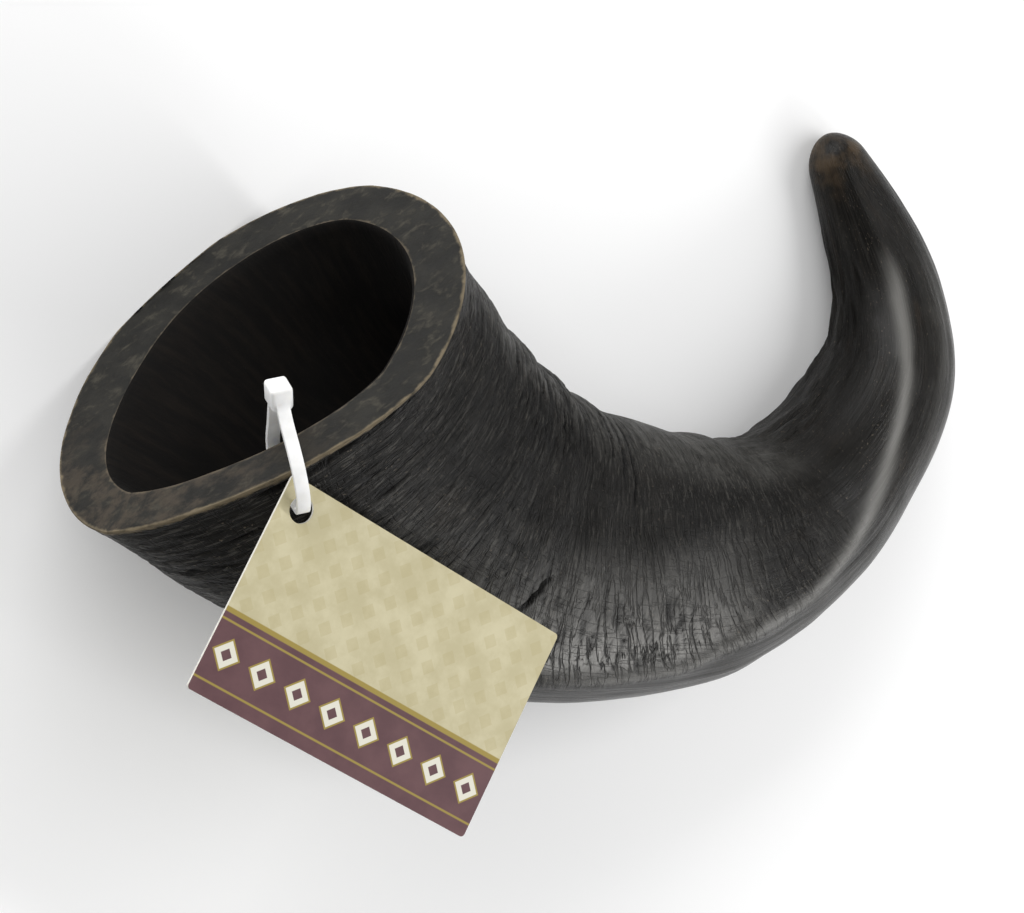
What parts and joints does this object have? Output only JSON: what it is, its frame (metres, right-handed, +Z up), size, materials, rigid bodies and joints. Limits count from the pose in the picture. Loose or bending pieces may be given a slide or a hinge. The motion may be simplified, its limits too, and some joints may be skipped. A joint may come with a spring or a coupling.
{
  "type": "buffalo horn",
  "caption": "Hollow curved water-buffalo horn with a sawn-off mouth, lying on its flatter flank, with a card tag hung from the rim by a nylon cable tie.",
  "frame": {"origin": "middle of the whole part's box in plan, on the surface it lies on", "axes": "+X from the mouth towards the bend, +Y towards the tip's end, +Z up"},
  "size_m": [0.2202, 0.1322, 0.0734],
  "materials": {
    "horn": "natural dark horn, rough and striated at the base, polished towards the tip",
    "nylon": "natural white nylon, slightly translucent",
    "card": "printed card, satin"
  },
  "bodies": {
    "root": {"horn": "horn", "cable_tie": "nylon", "tag": "card"}
  },
  "joints": []
}
